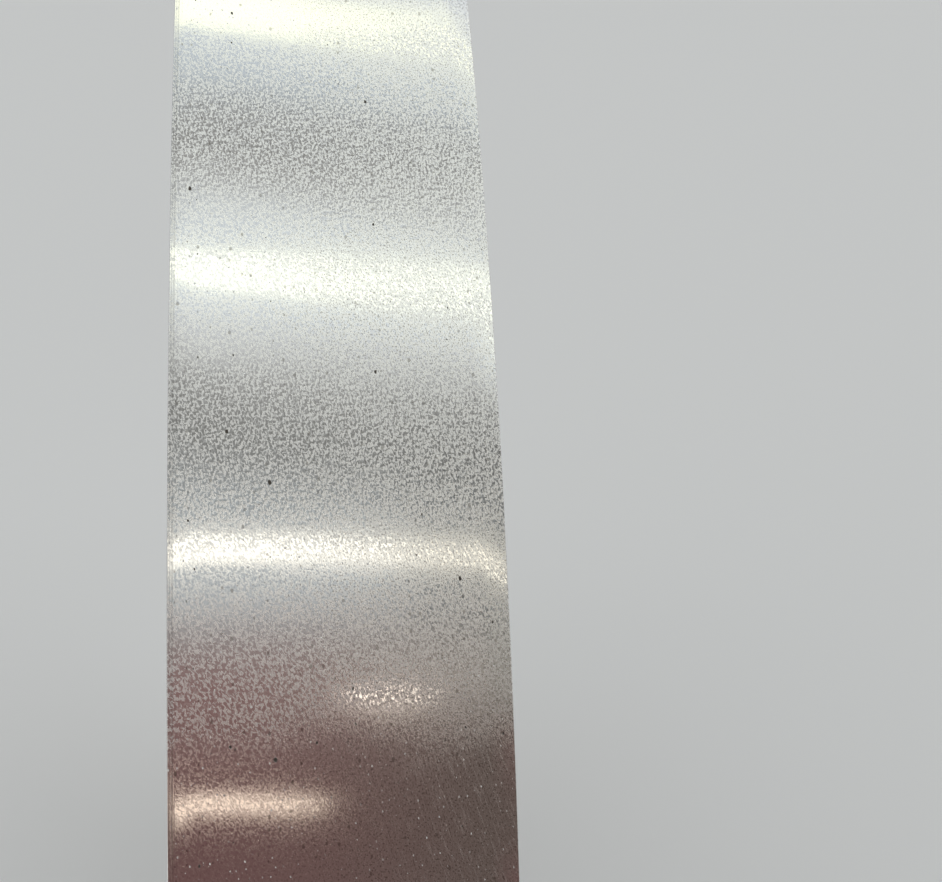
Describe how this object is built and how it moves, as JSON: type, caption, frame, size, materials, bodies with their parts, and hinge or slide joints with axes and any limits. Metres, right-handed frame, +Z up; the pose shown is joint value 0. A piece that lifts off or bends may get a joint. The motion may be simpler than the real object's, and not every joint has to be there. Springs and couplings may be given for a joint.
{
  "type": "steel coil",
  "caption": "Narrow coil of galvanised steel strip, wound turn on turn round an open bore, standing on its outer face.",
  "frame": {"origin": "on the floor under the middle of the strip's width, straight below the bore's axis", "axes": "+X along the bore's axis, towards the end that the picture has on its right; +Z up; -Y towards the side that the picture shows"},
  "size_m": [0.063, 1.1998, 1.2],
  "materials": {
    "galvanised_steel": "zinc coated, fine grained, half bright"
  },
  "bodies": {
    "root": {"coil": "galvanised_steel"}
  },
  "joints": []
}
